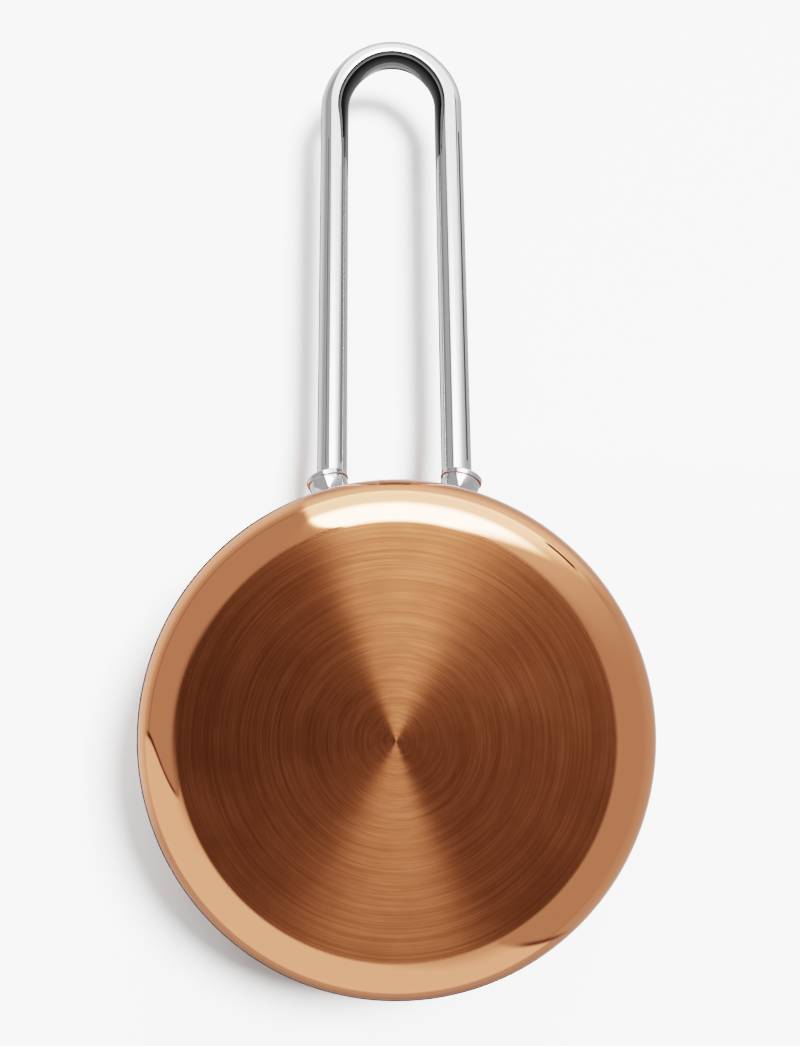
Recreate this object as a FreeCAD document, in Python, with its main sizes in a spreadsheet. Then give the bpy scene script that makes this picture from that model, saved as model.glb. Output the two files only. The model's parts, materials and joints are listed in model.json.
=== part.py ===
import FreeCAD, Part
import Sketcher
import math
import os

# A small straight-sided saucepan in three-ply metal: a copper skin, an aluminium core and a steel
# liner, drawn into one cup, with a handle bent from one steel rod. Each end of the rod stands on a
# collar and a turned boss that lean with the handle, and a rivet through the wall holds each boss.
#
# Millimetres, +Z up. The origin is the centre of the underside of the base, and the handle runs
# along +Y. Rivets are turned about their own Y axis, measured from the pan's axis, and then swung
# about Z to the left or right side of the handle. Bosses and collars are turned about their own Y
# axis, measured from the outside of the wall, then leaned and swung.

SIZES = (
    ("pan_radius", 70, "outside of the straight wall"),
    ("pan_height", 80, "underside of the base to the top of the rim"),
    ("base_corner", 12, "outside radius between base and wall"),
    ("copper", 0.6, "thickness of the outer skin"),
    ("aluminium", 1.3, "thickness of the core"),
    ("steel", 0.4, "thickness of the liner"),
    ("lip_bend", 5, "radius of the pouring lip on the copper side"),
    ("lip_angle", 60, "degrees that the lip turns outwards"),
    ("foot_height", 38.5, "rivet axis above the underside"),
    ("foot_angle", 15, "degrees from the handle's middle plane to each foot"),
    ("shank_radius", 2, "rivet shank"),
    ("shank_depth", 4, "how far the shank enters the boss"),
    ("head_radius", 5, "rivet head inside the pan"),
    ("head_edge", 0.7, "thickness of the rivet head at its rim"),
    ("head_dome", 1.5, "rise of the rivet head above its rim"),
    ("boss_length", 3.9, "wall to collar, along the boss's axis"),
    ("boss_sink", 2.4, "how far the boss is drawn into the wall before it is cut to it"),
    ("boss_root", 3.6, "radius of the boss where it is sunk into the wall"),
    ("boss_end", 5.55, "radius of the boss at the collar"),
    ("boss_barrel", 9, "radius of the boss's bulging side"),
    ("spigot_radius", 1.5, "pin on the boss that locates the collar and the rod"),
    ("spigot_depth", 2.5, "how far the pin enters the rod"),
    ("collar_radius", 6, "thin collar between boss and rod"),
    ("collar_thickness", 1.6, "along the boss's axis"),
    ("collar_round", 0.5, "rounding of the collar's rim"),
    ("rod_radius", 4.35, "handle rod"),
    ("leg_spread", 17.9, "handle's middle plane to the centre of each leg"),
    ("leg_length", 129.5, "collar to the start of the end bend"),
    ("leg_spare", 9, "rod beyond the collar before it is trimmed"),
    ("handle_rise", 22, "degrees that the handle climbs"),
    ("side_bend", 23, "radius of the end bend beside the legs"),
    ("tip_bend", 15, "radius of the end bend at its tip"),
)

WALL = "(sizes.copper + sizes.aluminium + sizes.steel)"
INSIDE = f"(sizes.pan_radius - {WALL})"
LIP_CENTRE_X = "(sizes.pan_radius + sizes.lip_bend)"
LIP_CENTRE_Z = f"(sizes.pan_height - (sizes.lip_bend + {WALL}) * sin(sizes.lip_angle))"
BOSS_END = "sizes.boss_length"
COLLAR_END = "(sizes.boss_length + sizes.collar_thickness)"
SPIGOT_END = f"{COLLAR_END} + sizes.spigot_depth"

H_AXIS = -1
V_AXIS = -2
START = 1
END = 2
CENTRE = 3


def add_sizes(doc):
    """Put the driving sizes in the sheet: name, value and remark on each row."""
    sheet = doc.addObject("Spreadsheet::Sheet", "sizes")
    for row, (name, value, remark) in enumerate(SIZES, start=1):
        sheet.set(f"A{row}", name)
        sheet.set(f"B{row}", str(value))
        sheet.set(f"C{row}", remark)
        sheet.setAlias(f"B{row}", name)
    doc.recompute()


def new_sketch(body, name, role):
    """A sketch on one of the body's own origin planes."""
    sketch = body.newObject("Sketcher::SketchObject", name)
    plane = next(f for f in body.Origin.OriginFeatures if f.Role == role)
    sketch.AttachmentSupport = [(plane, "")]
    sketch.MapMode = "FlatFace"
    return sketch


def bind(sketch, kind, *geometry, expression):
    """A dimension that takes its value from an expression over the sheet."""
    value = sketch.Document.sizes.evalExpression(expression)
    index = sketch.addConstraint(Sketcher.Constraint(kind, *geometry, value))
    sketch.setExpression(f"Constraints[{index}]", expression)


def pin(sketch, side, end, x, z):
    """Hold one end of a side at (x, z), each an expression, or on the axis where it is 0."""
    for kind, expression, axis in (("DistanceX", x, V_AXIS), ("DistanceY", z, H_AXIS)):
        if expression == "0":
            sketch.addConstraint(Sketcher.Constraint("PointOnObject", side, end, axis))
        else:
            bind(sketch, kind, -1, 1, side, end, expression=expression)


def arc_through(first, last, radius, turn):
    """A circular arc of less than half a turn; turn is 1 anticlockwise and -1 clockwise."""
    chord = last - first
    rise = math.sqrt(radius ** 2 - (chord.Length / 2) ** 2)
    sideways = FreeCAD.Vector(-chord.y, chord.x, 0).normalize()
    centre = (first + last) / 2 + sideways * rise * turn
    begin, finish = (first, last) if turn > 0 else (last, first)
    angles = [math.atan2(p.y - centre.y, p.x - centre.x) for p in (begin, finish)]
    return Part.ArcOfCircle(Part.Circle(centre, FreeCAD.Vector(0, 0, 1), radius), *angles)


def draw_outline(sketch, corners):
    """A closed outline. Each corner is (x, z) and starts a straight side, or
    (x, z, radius, turn) and starts an arc."""
    measure = sketch.Document.sizes.evalExpression
    places = [FreeCAD.Vector(measure(c[0]), measure(c[1]), 0) for c in corners]
    ends = []
    for number, corner in enumerate(corners):
        first, last = places[number], places[(number + 1) % len(corners)]
        if len(corner) == 2:
            sketch.addGeometry(Part.LineSegment(first, last))
            ends.append((START, END))
        else:
            radius, turn = corner[2:]
            sketch.addGeometry(arc_through(first, last, measure(radius), turn))
            ends.append((START, END) if turn > 0 else (END, START))
    for number, corner in enumerate(corners):
        before = number - 1 if number else len(corners) - 1
        joint = (before, ends[before][1], number, ends[number][0])
        sketch.addConstraint(Sketcher.Constraint("Coincident", *joint))
        pin(sketch, number, ends[number][0], corner[0], corner[1])
        if len(corner) > 2:
            bind(sketch, "Radius", number, expression=corner[2])


def turned(doc, label, role, corners):
    """A body turned from an outline about the sketch's vertical axis."""
    body = doc.addObject("PartDesign::Body", label)
    sketch = new_sketch(body, f"{label}_outline", role)
    draw_outline(sketch, corners)
    revolution = body.newObject("PartDesign::Revolution", f"{label}_turned")
    revolution.Profile = sketch
    revolution.ReferenceAxis = (sketch, ["V_Axis"])
    revolution.Angle = 360
    return body


def cylinder(doc, label, radius):
    """An upright cylinder about the pan's axis, as tall as the pan."""
    shape = doc.addObject("Part::Cylinder", label)
    shape.setExpression("Radius", radius)
    shape.setExpression("Height", "sizes.pan_height")
    return shape


def fuse(doc, label, shapes):
    joined = doc.addObject("Part::MultiFuse", label)
    joined.Shapes = shapes
    return joined


def cut(doc, label, base, tool):
    result = doc.addObject("Part::Cut", label)
    result.Base = base
    result.Tool = tool
    return result


def ply(doc, label, outside, inside):
    """One layer of the drawn cup, between two depths below the outer surface."""
    def lip_x(depth):
        return f"{LIP_CENTRE_X} - (sizes.lip_bend + {depth}) * cos(sizes.lip_angle)"

    def lip_z(depth):
        return f"{LIP_CENTRE_Z} + (sizes.lip_bend + {depth}) * sin(sizes.lip_angle)"

    flat = "sizes.pan_radius - sizes.base_corner"
    return turned(doc, label, "XZ_Plane", (
        ("0", outside),
        (flat, outside, f"sizes.base_corner - {outside}", 1),
        (f"sizes.pan_radius - {outside}", "sizes.base_corner"),
        (f"sizes.pan_radius - {outside}", LIP_CENTRE_Z, f"sizes.lip_bend + {outside}", -1),
        (lip_x(outside), lip_z(outside)),
        (lip_x(inside), lip_z(inside), f"sizes.lip_bend + {inside}", 1),
        (f"sizes.pan_radius - {inside}", LIP_CENTRE_Z),
        (f"sizes.pan_radius - {inside}", "sizes.base_corner", f"sizes.base_corner - {inside}", -1),
        (flat, inside),
        ("0", inside),
    ))


def rivet_piece(doc, label, turn, corners):
    """A piece turned about the level rivet axis and swung to its side of the handle."""
    body = turned(doc, label, "XY_Plane", corners)
    swing = f"rotation(vector(0; 0; 1); {turn} * sizes.foot_angle)"
    body.setExpression("Placement", f"placement(vector(0; 0; sizes.foot_height); {swing})")
    return body


def leaning_piece(doc, label, turn, corners):
    """A piece turned about the boss's axis, which climbs from the wall at the handle's angle."""
    body = turned(doc, label, "XY_Plane", corners)
    swing = f"rotation(vector(0; 0; 1); {turn} * sizes.foot_angle)"
    lean = "rotation(vector(1; 0; 0); sizes.handle_rise)"
    x = f"{-turn} * sizes.pan_radius * sin(sizes.foot_angle)"
    y = "sizes.pan_radius * cos(sizes.foot_angle)"
    start = f"vector({x}; {y}; sizes.foot_height)"
    body.setExpression("Placement", f"placement({start}; {swing} * {lean})")
    return body


def make_shank(doc, side, turn):
    """The rivet's plain shank. It also drills the wall and the boss."""
    start = f"{INSIDE} - sizes.head_edge"
    end = "sizes.pan_radius + sizes.shank_depth"
    return rivet_piece(doc, f"{side}_shank", turn, (
        ("0", start),
        ("sizes.shank_radius", start),
        ("sizes.shank_radius", end),
        ("0", end),
    ))


def make_rivet(doc, side, turn, shank, cavity):
    """Domed head, its back hollowed to the liner's curve, on the shank."""
    edge = f"{INSIDE} - sizes.head_edge"
    dome = "(sizes.head_radius ^ 2 + sizes.head_dome ^ 2) / (2 * sizes.head_dome)"
    head = rivet_piece(doc, f"{side}_head_blank", turn, (
        ("0", f"{edge} - sizes.head_dome", dome, 1),
        ("sizes.head_radius", edge),
        ("sizes.head_radius", "sizes.pan_radius"),
        ("0", "sizes.pan_radius"),
    ))
    seated = doc.addObject("Part::Common", f"{side}_head")
    seated.Base = head
    seated.Tool = cavity
    return fuse(doc, f"{side}_rivet", [seated, shank])


def make_boss(doc, side, turn, shank, wall):
    """Barrel between wall and collar, with the locating pin on its outer end."""
    blank = leaning_piece(doc, f"{side}_boss_blank", turn, (
        ("0", "-sizes.boss_sink"),
        ("sizes.boss_root", "-sizes.boss_sink", "sizes.boss_barrel", 1),
        ("sizes.boss_end", BOSS_END),
        ("sizes.spigot_radius", BOSS_END),
        ("sizes.spigot_radius", SPIGOT_END),
        ("0", SPIGOT_END),
    ))
    return cut(doc, f"{side}_boss", blank, fuse(doc, f"{side}_boss_seat", [wall, shank]))


def make_collar(doc, side, turn):
    """Thin ring with a rounded rim, on the boss's locating pin."""
    return leaning_piece(doc, f"{side}_collar", turn, (
        ("sizes.spigot_radius", BOSS_END),
        ("sizes.collar_radius - sizes.collar_round", BOSS_END, "sizes.collar_round", 1),
        ("sizes.collar_radius", f"{BOSS_END} + sizes.collar_round"),
        ("sizes.collar_radius", f"{COLLAR_END} - sizes.collar_round", "sizes.collar_round", 1),
        ("sizes.collar_radius - sizes.collar_round", COLLAR_END),
        ("sizes.spigot_radius", COLLAR_END),
    ))


def make_rod_trim(doc, side, turn):
    """The space on the pan's side of a collar, where no rod may be left."""
    reach = "sizes.collar_radius + sizes.rod_radius"
    return leaning_piece(doc, f"{side}_rod_trim", turn, (
        ("0", f"{COLLAR_END} - 2 * sizes.leg_spare"),
        (reach, f"{COLLAR_END} - 2 * sizes.leg_spare"),
        (reach, COLLAR_END),
        ("0", COLLAR_END),
    ))


def draw_handle_line(sketch):
    """Centre line of the rod: leg, three tangent arcs, leg."""
    measure = sketch.Document.sizes.evalExpression
    spread, length, spare, side, tip = (
        measure(f"sizes.{name}")
        for name in ("leg_spread", "leg_length", "leg_spare", "side_bend", "tip_bend")
    )
    inset = side - spread
    rise = math.sqrt((side - tip) ** 2 - inset ** 2)
    meet = math.atan2(rise, inset)
    up = FreeCAD.Vector(0, 0, 1)

    def arc(x, y, radius, first, last):
        return Part.ArcOfCircle(Part.Circle(FreeCAD.Vector(x, y, 0), up, radius), first, last)

    def leg(x):
        return Part.LineSegment(FreeCAD.Vector(x, -spare, 0), FreeCAD.Vector(x, length, 0))

    right_leg, left_leg, right_side, left_side, top = range(5)
    for shape in (
        leg(spread),
        leg(-spread),
        arc(-inset, length, side, 0, meet),
        arc(inset, length, side, math.pi - meet, math.pi),
        arc(0, length + rise, tip, meet, math.pi - meet),
    ):
        sketch.addGeometry(shape)
    for joint in (
        (right_leg, END, right_side, START),
        (right_side, END, top, START),
        (top, END, left_side, START),
        (left_side, END, left_leg, END),
    ):
        sketch.addConstraint(Sketcher.Constraint("Tangent", *joint))
    sketch.addConstraint(Sketcher.Constraint("Vertical", right_leg))
    sketch.addConstraint(Sketcher.Constraint("Vertical", left_leg))
    sketch.addConstraint(Sketcher.Constraint("PointOnObject", top, CENTRE, V_AXIS))
    bind(sketch, "DistanceX", -1, 1, right_leg, START, expression="sizes.leg_spread")
    bind(sketch, "DistanceY", right_leg, START, -1, 1, expression="sizes.leg_spare")
    bind(sketch, "DistanceY", left_leg, START, -1, 1, expression="sizes.leg_spare")
    bind(sketch, "DistanceY", -1, 1, right_leg, END, expression="sizes.leg_length")
    bind(sketch, "Radius", right_side, expression="sizes.side_bend")
    bind(sketch, "Radius", left_side, expression="sizes.side_bend")
    bind(sketch, "Radius", top, expression="sizes.tip_bend")


def make_handle_blank(doc):
    """The bent rod, with its legs still too long."""
    body = doc.addObject("PartDesign::Body", "handle_blank")
    line = new_sketch(body, "handle_line", "XY_Plane")
    draw_handle_line(line)
    section = new_sketch(body, "rod_section", "XZ_Plane")
    section.setExpression("AttachmentOffset.Base.z", "sizes.leg_spare")
    centre = FreeCAD.Vector(line.Document.sizes.leg_spread, 0, 0)
    rod = Part.Circle(centre, FreeCAD.Vector(0, 0, 1), line.Document.sizes.rod_radius)
    section.addGeometry(rod)
    section.addConstraint(Sketcher.Constraint("PointOnObject", 0, CENTRE, H_AXIS))
    bind(section, "DistanceX", -1, 1, 0, CENTRE, expression="sizes.leg_spread")
    bind(section, "Radius", 0, expression="sizes.rod_radius")
    doc.recompute()
    pipe = body.newObject("PartDesign::AdditivePipe", "bent_rod")
    pipe.Profile = section
    pipe.Spine = (line, ["Edge1", "Edge3", "Edge5", "Edge4", "Edge2"])
    reach = f"(sizes.pan_radius + {COLLAR_END} * cos(sizes.handle_rise))"
    y = f"{reach} * cos(sizes.foot_angle)"
    z = f"sizes.foot_height + {COLLAR_END} * sin(sizes.handle_rise)"
    climb = "rotation(vector(1; 0; 0); sizes.handle_rise)"
    body.setExpression("Placement", f"placement(vector(0; {y}; {z}); {climb})")
    return body


def make_pieces(doc):
    """Every piece of the saucepan, as (node name, object)."""
    wall = cylinder(doc, "wall_cylinder", "sizes.pan_radius")
    cavity = cylinder(doc, "cavity_cylinder", INSIDE)
    pieces, shanks, rod_tools = [], [], []
    for side, turn in (("left", 1), ("right", -1)):
        shank = make_shank(doc, side, turn)
        boss = make_boss(doc, side, turn, shank, wall)
        shanks.append(shank)
        rod_tools += [boss, make_rod_trim(doc, side, turn)]
        pieces += [make_rivet(doc, side, turn, shank, cavity), boss, make_collar(doc, side, turn)]
    drills = fuse(doc, "rivet_holes", shanks)
    core_depth = "sizes.copper"
    liner_depth = "(sizes.copper + sizes.aluminium)"
    for name, outside, inside in (
        ("copper_skin", "0", core_depth),
        ("aluminium_core", core_depth, liner_depth),
        ("steel_liner", liner_depth, WALL),
    ):
        pieces.append(cut(doc, name, ply(doc, f"{name}_blank", outside, inside), drills))
    trims = fuse(doc, "rod_trims", rod_tools)
    pieces.append(cut(doc, "handle_rod", make_handle_blank(doc), trims))
    return pieces


def check(doc, pieces):
    """Stop if any feature failed or any piece isn't one sound solid."""
    failed = [o.Label for o in doc.Objects if {"Invalid", "Error"} & set(o.State)]
    if failed:
        raise RuntimeError(f"failed features: {failed}")
    for piece in pieces:
        shape = piece.Shape
        if shape.isNull() or not shape.isValid() or len(shape.Solids) != 1:
            raise RuntimeError(f"{piece.Label} is not one sound solid")


def main():
    doc = FreeCAD.newDocument("saucepan")
    add_sizes(doc)
    pieces = make_pieces(doc)
    doc.recompute()
    check(doc, pieces)
    os.makedirs("parts", exist_ok=True)
    for piece in pieces:
        piece.Shape.exportStep(f"parts/{piece.Label}.step")
        print(piece.Label, round(piece.Shape.Volume, 1), piece.Shape.BoundBox)


main()
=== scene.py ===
import functools
import json
import math
import random

import bpy
from mathutils import Matrix, Vector


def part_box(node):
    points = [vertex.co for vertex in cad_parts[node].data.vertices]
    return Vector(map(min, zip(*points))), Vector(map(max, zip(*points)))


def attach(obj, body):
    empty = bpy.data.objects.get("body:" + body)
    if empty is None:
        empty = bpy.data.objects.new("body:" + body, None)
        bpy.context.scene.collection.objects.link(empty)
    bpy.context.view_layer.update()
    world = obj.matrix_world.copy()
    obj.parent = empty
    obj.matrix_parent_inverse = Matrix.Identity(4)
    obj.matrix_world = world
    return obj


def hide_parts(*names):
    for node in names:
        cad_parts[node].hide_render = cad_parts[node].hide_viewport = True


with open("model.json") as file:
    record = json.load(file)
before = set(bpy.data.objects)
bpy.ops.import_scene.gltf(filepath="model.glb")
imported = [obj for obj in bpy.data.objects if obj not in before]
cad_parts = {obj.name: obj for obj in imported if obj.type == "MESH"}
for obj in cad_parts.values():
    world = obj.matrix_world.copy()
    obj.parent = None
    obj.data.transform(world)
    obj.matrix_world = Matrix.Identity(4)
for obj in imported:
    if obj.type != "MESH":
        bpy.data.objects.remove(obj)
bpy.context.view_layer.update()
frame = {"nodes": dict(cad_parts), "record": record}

# Lengths are in metres. The pan stands on z = 0 with its handle along +Y, and is looked at from
# below, so that its base faces the camera.
MM = 0.001

# ---------------------------------------------------------------- sizes, read from the frame


def node_points(node):
    return [v.co for v in frame["nodes"][node].data.vertices]


def axis_distance(point):
    return math.hypot(point.x, point.y)


def ply_depths(node):
    """How deep the two faces of one layer lie below the underside of the base."""
    floor = [p.z for p in node_points(node) if axis_distance(p) < BASE_RADIUS + 0.1 * MM]
    return min(floor), max(floor)


def along_axis(node, start, direction):
    """Nearest end, farthest end and radius of a turned node about this line."""
    points = [p - start for p in node_points(node)]
    reach = [p.dot(direction) for p in points]
    radius = max((p - direction * r).length for p, r in zip(points, reach))
    return min(reach), max(reach), radius


RIM_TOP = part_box("steel_liner")[1].z
BASE_RADIUS = max(axis_distance(p) for p in node_points("copper_skin") if p.z < 0.01 * MM)
WALL_RADIUS = max(axis_distance(p) for p in node_points("copper_skin") if p.z < RIM_TOP / 2)
BASE_CORNER = WALL_RADIUS - BASE_RADIUS
WALL = ply_depths("steel_liner")[1]
LIP_BEND = 5 * MM
LIP_ANGLE = math.radians(60)
BASE_EASE = math.radians(3)

LOOP = next(m for m in frame["record"]["mounts"] if m["name"] == "hanging_loop")
HANDLE_NORMAL = Vector(LOOP["axis"]).normalized()
HANDLE_ALONG = Vector((0, HANDLE_NORMAL.z, -HANDLE_NORMAL.y))
SIDE_BEND = 23 * MM
TIP_BEND = 15 * MM
BOSS_BARREL = 9 * MM
RIVET_HEAD_EDGE = 0.7 * MM
RIVET_SINK = 0.35 * MM


def foot_line(side):
    """Middle of one collar, and the leaning direction in which its boss and collar point."""
    low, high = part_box(f"{side}_collar")
    middle = (low + high) / 2
    level = Vector((middle.x, middle.y, 0)).normalized()
    return middle, level * HANDLE_ALONG.y + Vector((0, 0, HANDLE_ALONG.z))


def rivet_line(side):
    """Point on the pan's axis level with one rivet, and the direction in which it points."""
    low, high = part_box(f"{side}_rivet")
    level = foot_line(side)[0].copy()
    level.z = 0
    return Vector((0, 0, (low.z + high.z) / 2)), level.normalized()


# ---------------------------------------------------------------- mesh helpers


def rounded(corners, step=math.radians(3)):
    """Outline points from corners (x, z) or (x, z, radius), each radius turned into an arc."""
    points = []
    for number, corner in enumerate(corners):
        here = Vector(corner[:2])
        if len(corner) < 3 or number in (0, len(corners) - 1):
            points.append(here)
            continue
        back = (Vector(corners[number - 1][:2]) - here).normalized()
        ahead = (Vector(corners[number + 1][:2]) - here).normalized()
        half = back.angle(ahead) / 2
        radius = corner[2]
        centre = here + (back + ahead).normalized() * radius / math.sin(half)
        start = here + back * radius / math.tan(half)
        turn = (math.pi - 2 * half) * math.copysign(1, back.x * ahead.y - back.y * ahead.x)
        count = max(2, math.ceil(abs(turn) / step))
        for index in range(count + 1):
            spoke = start - centre
            spoke.rotate(Matrix.Rotation(-turn * index / count, 2))
            points.append(centre + spoke)
    return points


def new_piece(name, vertices, faces, material):
    mesh = bpy.data.meshes.new(name)
    mesh.from_pydata(vertices, [], faces)
    mesh.validate()
    mesh.shade_smooth()
    mesh.set_sharp_from_angle(angle=math.radians(35))
    mesh.materials.append(material)
    piece = bpy.data.objects.new(name, mesh)
    bpy.context.scene.collection.objects.link(piece)
    return piece


def lathe(name, outline, material, place=Matrix.Identity(4), segments=192):
    """Closed surface turned from an outline of (radius, height) points about the local Z axis."""
    vertices, rings = [], []
    for radius, height in outline:
        count = 1 if radius < 1e-7 else segments
        rings.append(list(range(len(vertices), len(vertices) + count)))
        for index in range(count):
            angle = 2 * math.pi * index / segments
            spot = Vector((radius * math.cos(angle), radius * math.sin(angle), height))
            vertices.append(place @ spot)
    if outline[0][0] > 1e-7:
        rings.append(rings[0])
    faces = []
    for low, high in zip(rings, rings[1:]):
        for index in range(segments):
            after = (index + 1) % segments
            corners = (low[index % len(low)], low[after % len(low)],
                       high[after % len(high)], high[index % len(high)])
            face = tuple(dict.fromkeys(corners))
            if len(face) > 2:
                faces.append(face)
    return new_piece(name, vertices, faces, material)


def skinned(name, rings, material):
    """Closed rod through rings of equally many points, flat at both ends.

    The points of a ring run counter-clockwise when looking along the rod from its first ring.
    """
    count = len(rings[0])
    faces = [tuple(range(count))]
    for ring in range(len(rings) - 1):
        for index in range(count):
            low, after = ring * count, (index + 1) % count
            faces.append((low + index, low + count + index, low + count + after, low + after))
    total = len(rings) * count
    faces.append(tuple(reversed(range(total - count, total))))
    return new_piece(name, [point for ring in rings for point in ring], faces, material)


def stand_for(piece, node):
    """The piece takes the place of one CAD node."""
    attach(piece, "root")
    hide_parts(node)


# ---------------------------------------------------------------- node helpers


class Graph:
    """Short calls for building a node tree. A value can be a number, a tuple or a socket."""

    def __init__(self, tree):
        self.tree = tree
        tree.nodes.clear()

    def node(self, kind, **settings):
        made = self.tree.nodes.new(kind)
        for name, value in settings.items():
            setattr(made, name, value)
        return made

    def feed(self, socket, value):
        if isinstance(value, bpy.types.NodeSocket):
            self.tree.links.new(value, socket)
        else:
            socket.default_value = value

    def math(self, operation, *values):
        made = self.node("ShaderNodeMath", operation=operation)
        for socket, value in zip(made.inputs, values):
            self.feed(socket, value)
        return made.outputs[0]

    def add(self, *values):
        total = values[0]
        for value in values[1:]:
            total = self.math("ADD", total, value)
        return total

    def times(self, *values):
        product = values[0]
        for value in values[1:]:
            product = self.math("MULTIPLY", product, value)
        return product

    def blend(self, share, first, second):
        """first where share is 0, second where it is 1."""
        made = self.node("ShaderNodeMix", data_type="FLOAT")
        for number, value in ((0, share), (2, first), (3, second)):
            self.feed(made.inputs[number], value)
        return made.outputs[0]

    def ramp(self, value, low, high, out_low=0.0, out_high=1.0):
        """Smooth change from out_low to out_high as value goes from low to high."""
        made = self.node("ShaderNodeMapRange", interpolation_type="SMOOTHSTEP")
        for socket, given in zip(made.inputs, (value, low, high, out_low, out_high)):
            self.feed(socket, given)
        return made.outputs[0]

    def window(self, value, low, high, soft):
        """1 between low and high, falling to 0 over soft on both sides."""
        return self.times(self.ramp(value, low - soft, low + soft),
                          self.ramp(value, high - soft, high + soft, 1.0, 0.0))

    def noise(self, vector, scale, detail=2.0, roughness=0.5, dimensions="3D"):
        made = self.node("ShaderNodeTexNoise", noise_dimensions=dimensions)
        if dimensions == "1D":
            self.feed(made.inputs["W"], vector)
        else:
            self.feed(made.inputs["Vector"], vector)
        self.feed(made.inputs["Scale"], scale)
        self.feed(made.inputs["Detail"], detail)
        self.feed(made.inputs["Roughness"], roughness)
        return made.outputs["Fac"]

    def mix_color(self, factor, first, second):
        made = self.node("ShaderNodeMix", data_type="RGBA")
        for socket, value in zip(
            (made.inputs["Factor"], made.inputs[6], made.inputs[7]), (factor, first, second)
        ):
            self.feed(socket, value)
        return made.outputs[2]

    def split(self, vector):
        made = self.node("ShaderNodeSeparateXYZ")
        self.feed(made.inputs[0], vector)
        return made.outputs

    def join(self, x, y, z):
        made = self.node("ShaderNodeCombineXYZ")
        for socket, value in zip(made.inputs, (x, y, z)):
            self.feed(socket, value)
        return made.outputs[0]

    def bump(self, height, distance, strength=1.0):
        made = self.node("ShaderNodeBump")
        self.feed(made.inputs["Strength"], strength)
        self.feed(made.inputs["Distance"], distance)
        self.feed(made.inputs["Height"], height)
        return made.outputs[0]

    def metal(self, color, roughness, normal=None, anisotropy=0.0, turn=0.0, tangent=None):
        made = self.node("ShaderNodeBsdfPrincipled")
        self.feed(made.inputs["Base Color"], color)
        self.feed(made.inputs["Metallic"], 1.0)
        self.feed(made.inputs["Roughness"], roughness)
        self.feed(made.inputs["Anisotropic"], anisotropy)
        self.feed(made.inputs["Anisotropic Rotation"], turn)
        if normal is not None:
            self.feed(made.inputs["Normal"], normal)
        if tangent is not None:
            self.feed(made.inputs["Tangent"], tangent)
        return made.outputs[0]

    def mix_shader(self, factor, first, second):
        made = self.node("ShaderNodeMixShader")
        for socket, value in zip(made.inputs, (factor, first, second)):
            self.feed(socket, value)
        return made.outputs[0]

    def camera_below(self):
        """1 when the camera is lower than the pan's base, else 0."""
        made = self.node("ShaderNodeVectorTransform", vector_type="POINT")
        made.convert_from, made.convert_to = "CAMERA", "WORLD"
        made.inputs[0].default_value = (0, 0, 0)
        return self.math("LESS_THAN", self.split(made.outputs[0])[2], 0.0)

    def finish(self, shader, kind="ShaderNodeOutputMaterial"):
        self.tree.links.new(shader, self.node(kind).inputs["Surface"])


def new_material(name):
    material = bpy.data.materials.new(name)
    material.use_nodes = True
    return material, Graph(material.node_tree)


# ---------------------------------------------------------------- materials


COPPER = (0.80, 0.365, 0.215, 1)
STEEL = (0.63, 0.63, 0.64, 1)
LINER_STEEL = (0.62, 0.61, 0.59, 1)
ALUMINIUM = (0.78, 0.78, 0.79, 1)


def radius_and_height(graph):
    """Position, distance from the pan's axis and height, in metres."""
    spot = graph.node("ShaderNodeTexCoord").outputs["Object"]
    x, y, z = graph.split(spot)
    return spot, graph.math("SQRT", graph.add(graph.times(x, x), graph.times(y, y))), z


def ring_tangent(graph):
    tangent = graph.node("ShaderNodeTangent", direction_type="RADIAL", axis="Z")
    return tangent.outputs[0]


def turned_lines(graph, spot, radius, per_metre, arc, detail=2.0):
    """Lines along circles about the pan's axis. arc sets how soon a line ends: 0 for full circles."""
    heading = graph.node("ShaderNodeVectorMath", operation="NORMALIZE")
    graph.feed(heading.inputs[0], spot)
    x, y, _ = graph.split(heading.outputs[0])
    place = graph.join(graph.times(radius, per_metre), graph.times(x, arc), graph.times(y, arc))
    return graph.noise(place, 1.0, detail, 0.6)


def brushed_base(graph, spot, radius, tangent):
    """Lathe-brushed copper: combed round the axis, with stains, and painted shade that makes it darker
    towards one side.
    """
    fine = turned_lines(graph, spot, radius, 3600.0, 2.5)
    medium = turned_lines(graph, spot, radius, 1500.0, 1.2)
    rings = turned_lines(graph, spot, radius, 700.0, 0.15, 3.0)
    deep = graph.ramp(turned_lines(graph, spot, radius, 1150.0, 0.5, 0.0), 0.64, 0.72)
    lines = graph.add(graph.times(fine, 0.40), graph.times(medium, 0.35), graph.times(rings, 0.25))
    grooves = graph.bump(graph.add(lines, graph.times(deep, -0.30)), 0.02 * MM, 0.8)

    shade = graph.add(graph.ramp(lines, 0.36, 0.64), graph.times(deep, -0.35))
    color = graph.mix_color(shade, (0.205, 0.090, 0.047, 1), (0.270, 0.124, 0.070, 1))
    patches = graph.noise(spot, 70.0, 3.0)
    stained = graph.ramp(patches, 0.35, 0.7, 0.0, 0.35)
    color = graph.mix_color(stained, color, (0.165, 0.071, 0.037, 1))
    # Painted shade: the base is blackened towards +X and -Y, standing in for the dimmer light on that
    # side.
    x, y, _ = graph.split(spot)
    painted_side_shade = graph.ramp(graph.add(x, graph.times(y, -0.6)), -BASE_RADIUS, BASE_RADIUS, 0.0, 0.30)
    color = graph.mix_color(painted_side_shade, color, (0, 0, 0, 1))

    roughness = graph.ramp(patches, 0.3, 0.7, 0.30, 0.335)
    combed = graph.metal(color, roughness, grooves, 1.0, 0.25, tangent)
    frosted = graph.metal(color, 0.55, grooves)
    return graph.mix_shader(0.35, combed, frosted)


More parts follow.
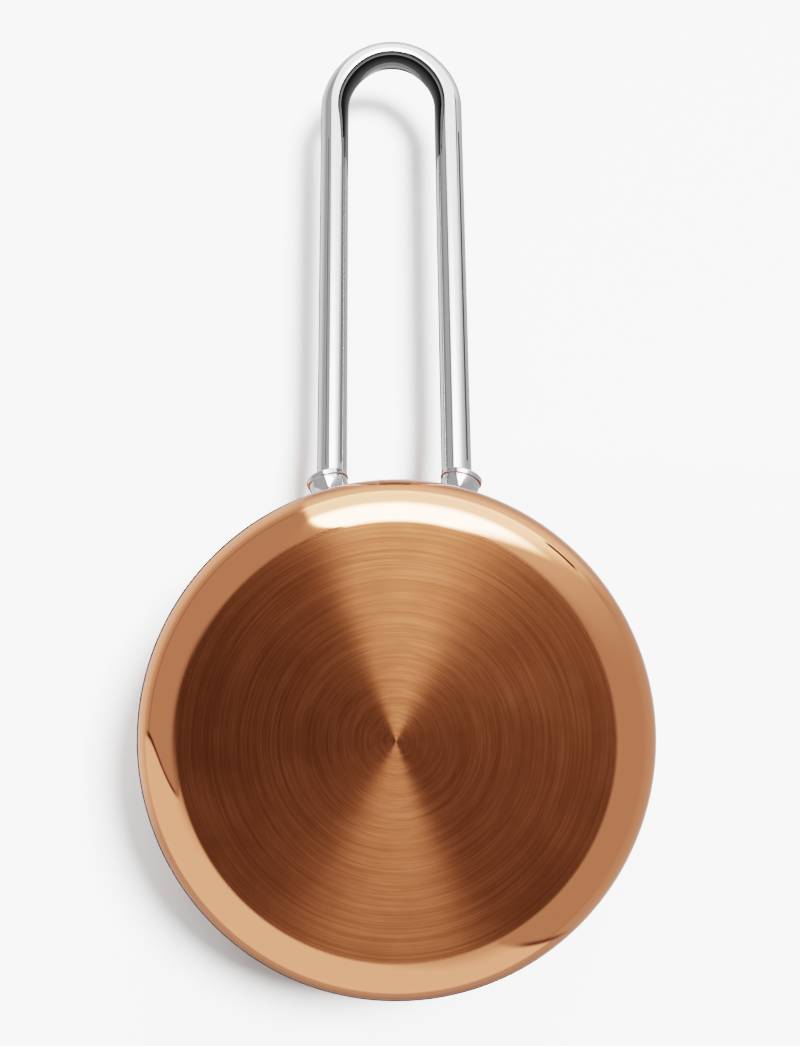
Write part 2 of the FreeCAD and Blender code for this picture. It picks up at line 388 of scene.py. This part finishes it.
def copper_material():
    """Mirror-polished copper with a lathe-brushed flat base."""
    material, graph = new_material("copper")
    spot, radius, height = radius_and_height(graph)
    tangent = ring_tangent(graph)
    haze = graph.noise(spot, 60.0, 4.0)
    ripple = graph.bump(graph.noise(spot, 35.0, 2.0), 0.04 * MM, 0.2)
    polished = graph.metal(COPPER, graph.ramp(haze, 0.3, 0.75, 0.03, 0.07), ripple, 0.3, 0.25,
                           tangent)
    inside_edge = graph.ramp(radius, BASE_RADIUS - 0.4 * MM, BASE_RADIUS + 0.6 * MM, 1.0, 0.0)
    on_base = graph.times(inside_edge, graph.math("LESS_THAN", height, 0.6 * MM))
    graph.finish(graph.mix_shader(on_base, polished, brushed_base(graph, spot, radius, tangent)))
    return material


def steel_material(name, color, rough_low, rough_high):
    """Polished steel with faint drawing lines and haze."""
    material, graph = new_material(name)
    spot = graph.node("ShaderNodeTexCoord").outputs["Object"]
    haze = graph.noise(spot, 140.0, 4.0)
    ripple = graph.bump(graph.noise(spot, 300.0, 2.0), 0.01 * MM, 0.2)
    graph.finish(graph.metal(color, graph.ramp(haze, 0.3, 0.75, rough_low, rough_high), ripple))
    return material


def liner_material():
    """Satin steel, brushed round the inside of the pan."""
    material, graph = new_material("liner_steel")
    spot, radius, height = radius_and_height(graph)
    around_wall = graph.noise(height, 1300.0, 2.0, 0.5, "1D")
    around_floor = graph.noise(radius, 1300.0, 2.0, 0.5, "1D")
    on_wall = graph.ramp(height, 6 * MM, 12 * MM)
    lines = graph.blend(on_wall, around_floor, around_wall)
    color = graph.mix_color(lines, (0.56, 0.555, 0.54, 1), (0.68, 0.67, 0.65, 1))
    haze = graph.noise(spot, 50.0, 3.0)
    roughness = graph.ramp(haze, 0.3, 0.7, 0.29, 0.36)
    graph.finish(graph.metal(color, roughness, graph.bump(lines, 0.01 * MM, 0.08), 0.6, 0.25,
                             ring_tangent(graph)))
    return material


def core_material():
    """Cut edge of the aluminium layer."""
    material, graph = new_material("core_aluminium")
    spot, radius, height = radius_and_height(graph)
    lines = graph.noise(graph.add(radius, height), 5200.0, 2.0, 0.5, "1D")
    color = graph.mix_color(lines, (0.62, 0.62, 0.63, 1), ALUMINIUM)
    graph.finish(graph.metal(color, 0.38, graph.bump(lines, 0.02 * MM, 0.5)))
    return material


# ---------------------------------------------------------------- the pan


def cup_side(depth):
    """Corners of one face of the wall, depth below the outside, from the axis to the rim."""
    lip_x = WALL_RADIUS + LIP_BEND
    lip_z = RIM_TOP - (LIP_BEND + WALL) * math.sin(LIP_ANGLE)
    bend = LIP_BEND + depth
    end = (lip_x - bend * math.cos(LIP_ANGLE), lip_z + bend * math.sin(LIP_ANGLE))
    knee = lip_z + bend * math.tan(LIP_ANGLE / 2)
    return [
        (0, depth),
        (WALL_RADIUS - depth, depth, BASE_CORNER - depth),
        (WALL_RADIUS - depth, knee, bend * 0.999),
        end,
    ]


def crowned(side):
    """The outside of the base eased over its last few millimetres, before the corner."""
    ease_from = BASE_RADIUS - 2 * MM
    lift = (WALL_RADIUS - ease_from) * math.tan(BASE_EASE)
    return [side[0], (ease_from, 0, 100 * MM), (WALL_RADIUS, lift, BASE_CORNER - 0.1 * MM), *side[2:]]


def ply_outline(outer_depth, inner_depth, outer_round, inner_round):
    """Closed outline of one layer, with the two edges at the rim eased."""
    outer = cup_side(outer_depth)
    if outer_depth < 0.01 * MM:
        outer = crowned(outer)
    inner = cup_side(inner_depth)
    outer[-1] = (*outer[-1], outer_round)
    inner[-1] = (*inner[-1], inner_round)
    return rounded(outer + inner[::-1])


def turning_marks(outline, depth, pitch, seed):
    """The straight run of the base cut into rings, each a few microns off the flat."""
    marks = random.Random(seed)
    axis, rest = outline[0], outline[1:]
    edge = rest[0].x
    count = round(edge / pitch)
    rings = [axis]
    for index in range(1, count):
        rings.append(Vector((edge * index / count, axis.y + depth * marks.random())))
    return rings + rest


def make_pan(copper, core, liner):
    """Three nested cups. Only the edges open to the hand are rounded, the others barely eased."""
    hidden_edge = 0.02 * MM
    for node, outer_round, inner_round, material, slot in (
        ("copper_skin", 0.22 * MM, hidden_edge, copper, "copper"),
        ("aluminium_core", hidden_edge, hidden_edge, core, "core_aluminium"),
        ("steel_liner", hidden_edge, 0.15 * MM, liner, "liner_steel"),
    ):
        outline = ply_outline(*ply_depths(node), outer_round, inner_round)
        if node == "copper_skin":
            outline = turning_marks(outline, depth=0.004 * MM, pitch=0.3 * MM, seed=7)
        stand_for(lathe(f"pan_{node}", outline, material, segments=288), node)


# ---------------------------------------------------------------- the handle and its feet


def turned_to(start, direction):
    """Placement that turns a piece's own Z axis to this direction and moves it to start."""
    first = Vector((0, 0, 1)).cross(direction).normalized()
    turn = Matrix((first, direction.cross(first), direction)).transposed()
    return Matrix.Translation(start) @ turn.to_4x4()


def barrel(bulge, collar_face):
    """Outline of a boss from inside the wall to the collar, widest a little before the collar."""
    collar_angle = math.radians(4)
    wall_angle = math.radians(-39)
    widest = collar_face - BOSS_BARREL * math.sin(collar_angle)
    side = []
    for index in range(29):
        angle = wall_angle + (collar_angle - wall_angle) * index / 28
        radius = bulge - BOSS_BARREL * (1 - math.cos(angle))
        side.append(Vector((radius, widest + BOSS_BARREL * math.sin(angle))))
    return [Vector((0, side[0].y)), *side, Vector((0, side[-1].y))]


def seat_on_wall(piece, direction):
    """Slide the end that is sunk too deep in the wall back out along this direction."""
    depth = WALL_RADIUS - 0.3 * MM
    across = direction.x ** 2 + direction.y ** 2
    for vertex in piece.data.vertices:
        here = vertex.co
        half = here.x * direction.x + here.y * direction.y
        excess = here.x ** 2 + here.y ** 2 - depth ** 2
        if excess < 0:
            vertex.co = here + direction * ((math.sqrt(half ** 2 - across * excess) - half) / across)


def make_feet(steel, rivet_steel):
    for side in ("left", "right"):
        middle, outwards = foot_line(side)
        place = turned_to(middle, outwards)
        near, far, radius = along_axis(f"{side}_collar", middle, outwards)
        collar = rounded([
            (0.3 * radius, near),
            (radius, near, 0.15 * MM),
            (radius, far, 0.5 * MM),
            (0.3 * radius, far),
        ])
        stand_for(lathe(f"{side}_foot_collar", collar, steel, place, 96),
                  f"{side}_collar")
        bulge = along_axis(f"{side}_boss", middle, outwards)[2]
        boss = lathe(f"{side}_foot_boss", barrel(bulge, near + 0.01 * MM), steel, place, 96)
        seat_on_wall(boss, outwards)
        stand_for(boss, f"{side}_boss")

        axis_point, level = rivet_line(side)
        head, _, head_radius = along_axis(f"{side}_rivet", axis_point, level)
        seat = WALL_RADIUS - WALL
        rim = seat - RIVET_HEAD_EDGE
        dome = [
            Vector((head_radius * math.sin(a), rim - (rim - head) * math.cos(a)))
            for a in (math.pi / 2 * i / 16 for i in range(17))
        ]
        dome[0].x = 0
        back = seat + RIVET_SINK
        rivet = dome + [Vector((head_radius, back)), Vector((0, back))]
        stand_for(lathe(f"{side}_wall_rivet", rivet, rivet_steel, turned_to(axis_point, level), 96),
                  f"{side}_rivet")


@functools.cache
def handle_sizes():
    """Rod radius, leg offset, distance along the handle to the tip's centre line, plane offset."""
    points = node_points("handle_rod")
    rises = [p.dot(HANDLE_NORMAL) for p in points]
    radius = (max(rises) - min(rises)) / 2
    spread = max(p.x for p in points) - radius
    tip = max(p.dot(HANDLE_ALONG) for p in points) - radius
    return radius, spread, tip, (max(rises) + min(rises)) / 2


def half_bend(spread, tip):
    """Centre line of half the bend, from the leg to the middle of the tip.

    Each entry is the offset from the middle, the distance along the handle and the heading.
    """
    inset = SIDE_BEND - spread
    rise = math.sqrt((SIDE_BEND - TIP_BEND) ** 2 - inset ** 2)
    leg_end = tip - TIP_BEND - rise
    meet = math.atan2(rise, inset)
    line = []
    for index in range(36):
        angle = meet * index / 36
        line.append((SIDE_BEND * math.cos(angle) - inset, leg_end + SIDE_BEND * math.sin(angle), angle))
    for index in range(29):
        angle = meet + (math.pi / 2 - meet) * index / 28
        line.append((TIP_BEND * math.cos(angle), leg_end + rise + TIP_BEND * math.sin(angle), angle))
    return line


def handle_spot(offset, along, lift):
    """Point given by offset across the handle, distance along it and lift off its middle plane."""
    plane = handle_sizes()[3]
    return Vector((offset, 0, 0)) + HANDLE_ALONG * along + HANDLE_NORMAL * (plane + lift)


def make_handle(steel):
    radius, spread, tip, _ = handle_sizes()
    half = half_bend(spread, tip)
    line = half + [(-offset, along, math.pi - heading) for offset, along, heading in half[-2::-1]]
    bend = []
    for offset, along, heading in line:
        centre = handle_spot(offset, along, 0)
        across = Vector((math.cos(heading), 0, 0)) + HANDLE_ALONG * math.sin(heading)
        ring = []
        for index in range(72):
            angle = 2 * math.pi * index / 72
            ring.append(centre + (across * math.cos(angle) + HANDLE_NORMAL * math.sin(angle)) * radius)
        bend.append(ring)

    legs = {}
    for side, top in (("right", bend[0]), ("left", bend[-1])):
        middle, outwards = foot_line(side)
        face = along_axis(f"{side}_collar", middle, outwards)[1] - 0.15 * MM
        slope = HANDLE_ALONG.dot(outwards)
        foot = [
            point - HANDLE_ALONG * (((point - middle).dot(outwards) - face) / slope) for point in top
        ]
        legs[side] = [
            [low.lerp(high, step / 24) for low, high in zip(foot, top)] for step in range(24)
        ]
    rod = skinned("handle_loop", legs["right"] + bend + legs["left"][::-1], steel)
    stand_for(rod, "handle_rod")


# ---------------------------------------------------------------- stage, light and camera


def stage_sheet(name, profile, half_width, material):
    """Sheet drawn across X along a (y, z) profile; it is not attached to the pan."""
    vertices = []
    for y, z in profile:
        vertices += [(-half_width, y, z), (half_width, y, z)]
    faces = [(i, i + 1, i + 3, i + 2) for i in range(0, len(vertices) - 2, 2)]
    sheet = new_piece(name, vertices, faces, material)
    return sheet


def backdrop_profile():
    """Level just over the rim, then bending up to run beside the handle at its own slope."""
    slope = math.atan2(HANDLE_ALONG.z, HANDLE_ALONG.y)
    far = 1.5
    steps = 32
    step_length = 0.6 * MM
    y, z = WALL_RADIUS + 5 * MM, RIM_TOP + 6 * MM
    profile = [(-far, z), (y, z)]
    for index in range(1, steps + 1):
        angle = slope * index / steps
        y += step_length * math.cos(angle)
        z += step_length * math.sin(angle)
        profile.append((y, z))
    profile.append((y + far * math.cos(slope), z + far * math.sin(slope)))
    return profile


def flag_material(name, middle):
    """Dark card that only the metal sees, and only when the camera is below.

    It is black along its outline and reaches its middle brightness a little way in.
    """
    material, graph = new_material(name)
    light_path = graph.node("ShaderNodeLightPath")
    share = graph.node("ShaderNodeVertexColor", layer_name="share").outputs["Color"]
    glow = graph.node("ShaderNodeEmission")
    graph.feed(glow.inputs["Color"], graph.mix_color(graph.ramp(share, 0.0, 0.35),
                                                     (0.02, 0.02, 0.02, 1), middle))
    clear = graph.node("ShaderNodeBsdfTransparent")
    shown = graph.times(graph.camera_below(), light_path.outputs["Is Glossy Ray"])
    graph.finish(graph.mix_shader(shown, clear.outputs[0], glow.outputs[0]))
    return material


def studio_card(name, vertices, faces, shares, material):
    """Card that is only mirrored. Each share is 0 on a black edge and 1 at the middle brightness."""
    card = new_piece(name, vertices, faces, material)
    colors = card.data.color_attributes.new("share", "FLOAT_COLOR", "POINT")
    for index, share in enumerate(shares):
        colors.data[index].color = (share, share, share, 1)
    card.visible_camera = False
    card.visible_shadow = False
    card.visible_diffuse = False


def flag(name, outline, lifts, material):
    """Card with this outline in the handle's plane, lifted off it; two lifts make a deep block."""
    vertices = [handle_spot(offset, along, lifts[0]) for offset, along in outline]
    count = len(vertices)
    vertices.append(handle_spot(0, outline[0][1], lifts[0]))
    faces = [(index, (index + 1) % count, count) for index in range(count)]
    shares = [0.0] * count + [1.0]
    if len(lifts) > 1:
        vertices += [handle_spot(offset, along, lifts[1]) for offset, along in outline]
        shares += [1.0] * count
        for index in range(count):
            after = (index + 1) % count
            faces.append((index, after, count + 1 + after, count + 1 + index))
    studio_card(name, vertices, faces, shares, material)


def arch(half_width, rise, centre, tail_end):
    """Outline of an arch across the handle with a tail that narrows towards the pan."""
    points = []
    for index in range(25):
        angle = math.pi * index / 24
        points.append((half_width * math.cos(angle), centre + rise * math.sin(angle)))
    return points + [(-2 * MM, tail_end), (2 * MM, tail_end)]


def make_flags():
    """Cards that give the polished handle its dark lines."""
    radius, spread, tip, _ = handle_sizes()
    grey = flag_material("flag_grey", (0.30, 0.30, 0.30, 1))
    dark = flag_material("flag_dark", (0.10, 0.10, 0.10, 1))
    inside = spread - radius
    flag("bend_flag", arch(inside - 0.5 * MM, 16 * MM, tip - 17 * MM, tip - 27 * MM),
         [-radius - 7 * MM], grey)
    flag("loop_flag", arch(inside - 0.9 * MM, 16 * MM, tip - 20 * MM, tip - 29 * MM),
         [-radius - 1.5 * MM, 22 * MM], grey)

    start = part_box("left_collar")[1].y / HANDLE_ALONG.y + 10 * MM
    end = tip - 25 * MM
    for name, leg, beside, low, high, material in (
        ("right_leg_inner", 1, -13, -9.5, -3.4, grey),
        ("right_leg_outer", 1, 11.8, -13.6, -12.0, dark),
        ("left_leg_outer", -1, -13, -4.2, -1.6, dark),
        ("left_leg_inner", -1, 11.2, -21.6, -19.6, dark),
    ):  # millimetres: across from the leg, then low and high off the handle's plane
        offset = leg * spread + beside * MM
        edges = ((start, low), (end, low), (end, high), (start, high))
        corners = [handle_spot(offset, along, lift * MM) for along, lift in edges]
        studio_card(f"{name}_strip", corners, [(0, 1, 2, 3)], [1.0] * 4, material)


def backdrop_material():
    """Matt white behind the pan, there only for a camera that looks from below."""
    material, graph = new_material("backdrop_white")
    camera_ray = graph.node("ShaderNodeLightPath").outputs["Is Camera Ray"]
    shown = graph.times(graph.camera_below(), camera_ray)
    matt = graph.node("ShaderNodeBsdfDiffuse")
    graph.feed(matt.inputs["Color"], (0.48, 0.48, 0.48, 1))
    clear = graph.node("ShaderNodeBsdfTransparent")
    graph.finish(graph.mix_shader(shown, clear.outputs[0], matt.outputs[0]))
    return material


def heading_around(graph, x, y):
    """Degrees from the pan's left-hand side (-X) through the handle's side (90)."""
    around = graph.times(graph.math("ARCTAN2", y, graph.times(x, -1.0)), 180 / math.pi)
    return graph.math("FLOORED_MODULO", around, 360.0)


def card_ring(graph, around):
    """Brightness of the upright cards that stand round a pan on the floor."""
    level = 0.42
    for low, high, brightness in (
        (20, 40, 1.1), (96, 112, 1.3), (165, 190, 2.0), (236, 250, 1.6), (300, 330, 1.2),
        (54, 70, 0.16), (130, 148, 0.2), (206, 220, 0.14), (270, 282, 0.18), (346, 354, 0.2),
    ):
        level = graph.blend(graph.window(around, low, high, 5), level, brightness)
    return level


def floor_material():
    """Pale matt floor under the pan, open to a camera that looks from below.

    Metal sees the ring of cards in it, and far away it fades into the studio.
    """
    material, graph = new_material("floor_white")
    spot, radius, _ = radius_and_height(graph)
    grain = graph.ramp(graph.noise(spot, 30.0, 3.0), 0.3, 0.7)
    matt = graph.node("ShaderNodeBsdfDiffuse")
    white = graph.mix_color(grain, (0.78, 0.78, 0.78, 1), (0.80, 0.80, 0.80, 1))
    graph.feed(matt.inputs["Color"], white)

    x, y, _ = graph.split(spot)
    cards = card_ring(graph, heading_around(graph, x, y))
    beside_pan = graph.ramp(radius, BASE_RADIUS, 3 * BASE_RADIUS, 0.5, 1.0)
    mirrored = graph.node("ShaderNodeEmission")
    graph.feed(mirrored.inputs["Strength"], graph.times(beside_pan, cards))
    in_metal = graph.node("ShaderNodeLightPath").outputs["Is Glossy Ray"]
    seen = graph.mix_shader(in_metal, matt.outputs[0], mirrored.outputs[0])
    clear = graph.node("ShaderNodeBsdfTransparent")
    open_share = graph.math("MAXIMUM", graph.camera_below(), graph.ramp(radius, 0.5, 2.4))
    graph.finish(graph.mix_shader(open_share, seen, clear.outputs[0]))
    return material


def room_below(graph, around, tilt):
    """The dim room under the pan, the table level with it, and the dark line between them."""
    right_side = graph.times(graph.ramp(around, 8, 57), graph.ramp(around, 56, 62, 1.0, 0.0))
    room = graph.add(0.46, graph.times(right_side, 0.36))
    far_table = graph.blend(graph.window(around, 112, 200, 10), 0.52, 0.84)
    table = graph.blend(graph.ramp(tilt, 92, 116), 0.50, far_table)
    level = graph.blend(graph.ramp(tilt, 88, 91), room, table)
    horizon = graph.times(graph.window(tilt, 84.5, 88.5, 1.5), graph.window(around, 100, 310, 20))
    return graph.blend(horizon, level, 0.34)


def add_handle_side_box(graph, level, around, tilt):
    """The bright box on the handle's side, with a thin arc and a dark glint past its end."""
    taper = graph.ramp(graph.add(around, graph.times(tilt, 0.29)), 58, 76)
    box = graph.times(taper, graph.ramp(around, 112, 114, 1.0, 0.0))
    box_level = graph.blend(graph.ramp(tilt, 40, 60), 9.0, 1.9)
    box_level = graph.blend(graph.ramp(tilt, 88, 96), box_level, 1.05)
    box_level = graph.blend(graph.ramp(tilt, 100, 135), box_level, 0.55)
    level = graph.blend(box, level, box_level)
    arc = graph.times(graph.window(around, 46, 112, 4), graph.window(tilt, 83, 91, 4))
    level = graph.blend(arc, level, 2.1)
    glint = graph.times(graph.window(around, 40, 50, 1.5), graph.window(tilt, 83, 90, 2))
    return graph.blend(glint, level, 0.1)


def add_front_card(graph, level, around, tilt):
    """The pale card opposite the handle, with curved ends that have thin dark edges."""
    start_bend = graph.times(graph.math("POWER", graph.math("SUBTRACT", 97.0, tilt), 2.0), 0.0039)
    past_start = graph.math("SUBTRACT", around, start_bend)
    end_bend = graph.times(graph.math("POWER", graph.times(tilt, 0.01), 0.45), 30.0)
    before_end = graph.math("SUBTRACT", around, end_bend)
    card = graph.times(graph.ramp(past_start, 182, 183.5), graph.ramp(before_end, 274, 276, 1.0, 0.0))
    reach = graph.add(graph.ramp(around, 256, 292, 14, 62), graph.ramp(around, 200, 240, 22, 0))
    card = graph.times(card, graph.ramp(tilt, -8, reach), graph.ramp(tilt, 96, 106, 1.0, 0.0))
    level = graph.blend(card, level, 0.94)
    low_band = graph.times(graph.window(around, 226, 300, 20), graph.ramp(tilt, 108, 134))
    level = graph.blend(low_band, level, 0.34)
    left_edge = graph.times(graph.window(past_start, 181.3, 182.5, 0.6), graph.window(tilt, 22, 92, 8))
    level = graph.blend(left_edge, level, 0.06)
    right_edge = graph.times(graph.window(before_end, 274, 276, 1.0), graph.window(tilt, 50, 112, 20))
    return graph.blend(right_edge, level, 0.12)


def light_from_below(graph, around, tilt):
    """Brightness of the studio that the base faces. tilt is in degrees from straight down.

    Left and right are as seen from below with the handle at the top, so left is +X.
    """
    level = room_below(graph, around, tilt)
    level = add_handle_side_box(graph, level, around, tilt)
    level = add_front_card(graph, level, around, tilt)
    lens_gap = graph.ramp(tilt, 4, 11, 1.0, 0.0)
    level = graph.blend(lens_gap, level, 0.15)
    left_gap = graph.times(graph.window(around, 172, 208, 16), graph.ramp(tilt, 6, 24, 1.0, 0.0))
    level = graph.blend(left_gap, level, 0.03)
    outline = graph.blend(graph.window(around, 120, 296, 14), 0.75, 0.04)
    return graph.blend(graph.ramp(tilt, 141, 153), level, outline)


def light_from_above(graph, around, height):
    """Brightness of the studio over a pan that stands on the floor."""
    return graph.blend(graph.ramp(height, 0.45, 0.95), card_ring(graph, around), 1.3)


def make_world():
    world = bpy.data.worlds.new("studio")
    bpy.context.scene.world = world
    world.use_nodes = True
    graph = Graph(world.node_tree)
    x, y, z = graph.split(graph.node("ShaderNodeTexCoord").outputs["Generated"])
    around = heading_around(graph, x, y)
    tilt = graph.times(graph.math("ARCCOSINE", graph.times(z, -1.0)), 180 / math.pi)
    camera_ray = graph.node("ShaderNodeLightPath").outputs["Is Camera Ray"]
    from_above = graph.blend(camera_ray, light_from_above(graph, around, z), 1.2)
    strength = graph.blend(graph.camera_below(), from_above, light_from_below(graph, around, tilt))
    background = graph.node("ShaderNodeBackground")
    graph.feed(background.inputs["Color"], (1, 1, 1, 1))
    graph.feed(background.inputs["Strength"], strength)
    graph.finish(background.outputs[0], "ShaderNodeOutputWorld")


def area_light(name, place, target, size, power):
    """Round soft light that throws shadows but isn't mirrored in the metal."""
    data = bpy.data.lights.new(name, "AREA")
    data.shape = "DISK"
    data.size = size
    data.energy = power
    light = bpy.data.objects.new(name, data)
    light.location = place
    light.rotation_mode = "QUATERNION"
    light.rotation_quaternion = (Vector(target) - Vector(place)).to_track_quat("-Z", "Y")
    light.visible_glossy = False
    light.visible_camera = False
    bpy.context.scene.collection.objects.link(light)


CAMERA_PLACE = Vector((-3.2, 37.0, -480.0)) * MM
CAMERA_TARGET = Vector((-1.6, 57.6, 0)) * MM
CAMERA_ROLL = math.radians(-0.61)
LENS = 62.5


def make_camera():
    data = bpy.data.cameras.new("camera")
    data.sensor_width = 36
    data.lens = LENS
    camera = bpy.data.objects.new("camera", data)
    camera.location = CAMERA_PLACE
    ahead = (CAMERA_TARGET - CAMERA_PLACE).normalized()
    right = ahead.cross(Vector((0, 1, 0))).normalized()
    turn = Matrix((right, right.cross(ahead), -ahead)).transposed()
    turn = turn @ Matrix.Rotation(CAMERA_ROLL, 3, "Z")
    camera.rotation_mode = "QUATERNION"
    camera.rotation_quaternion = turn.to_quaternion()
    bpy.context.scene.collection.objects.link(camera)
    bpy.context.scene.camera = camera


def main():
    steel = steel_material("handle_steel", STEEL, 0.05, 0.10)
    rivet_steel = steel_material("rivet_steel", LINER_STEEL, 0.18, 0.26)
    make_pan(copper_material(), core_material(), liner_material())
    make_feet(steel, rivet_steel)
    make_handle(steel)

    stage_sheet("floor", [(-3, -0.1 * MM), (3, -0.1 * MM)], 3, floor_material())
    stage_sheet("backdrop", backdrop_profile(), 1.5, backdrop_material())
    make_flags()
    make_world()
    area_light("key_below", (-0.63, 0.50, -2.3), (0, 0.05, 0.08), 0.48, 290)
    area_light("key_above", (-0.7, -0.5, 1.2), (0, 0.05, 0.05), 0.5, 30)
    make_camera()
    bpy.context.scene.view_settings.view_transform = "Filmic"
    bpy.context.scene.view_settings.look = "Very High Contrast"


main()
